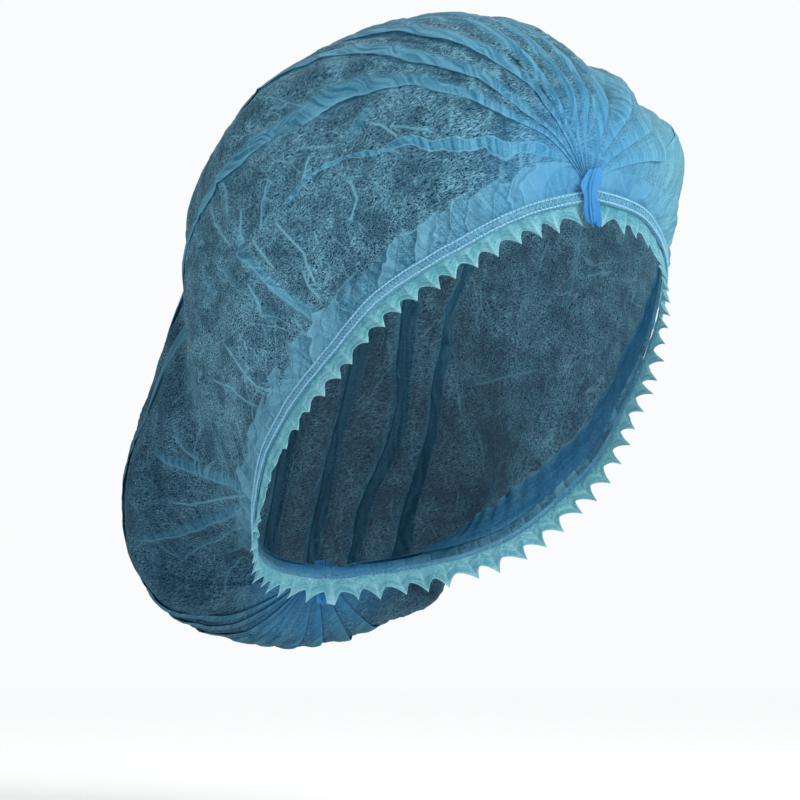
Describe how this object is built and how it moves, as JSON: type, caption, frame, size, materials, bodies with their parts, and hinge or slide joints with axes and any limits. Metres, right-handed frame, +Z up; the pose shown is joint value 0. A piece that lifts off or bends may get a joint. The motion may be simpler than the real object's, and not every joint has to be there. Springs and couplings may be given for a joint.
{
  "type": "disposable hairnet",
  "caption": "Pleated non-woven clip cap that keeps its worn form: crown with a bag at the nape, sewn elastic, toothed frill and a bunched end at the brow and at the nape.",
  "frame": {"origin": "middle of the head that the cap sits on: on its middle plane, 97 mm behind the elastic at the brow, 71 mm below it and 68 mm above the elastic at the nape", "axes": "+Z up, the wearer faces -Y, the wearer's right is -X"},
  "size_m": [0.1669, 0.2273, 0.2364],
  "materials": {
    "spunbond_cloth": "matt spunbond web",
    "turned_in_cloth": "matt spunbond web, doubled",
    "sewn_elastic": "matt, stitched",
    "frill_cloth": "matt spunbond web, gathered",
    "bunched_cloth": "matt spunbond web, bunched"
  },
  "bodies": {
    "root": {"crown": "spunbond_cloth", "hem_right": "turned_in_cloth", "hem_left": "turned_in_cloth", "elastic_band": "sewn_elastic", "ruffle": "frill_cloth", "front_tuft": "bunched_cloth", "back_tuft": "bunched_cloth"}
  },
  "joints": []
}
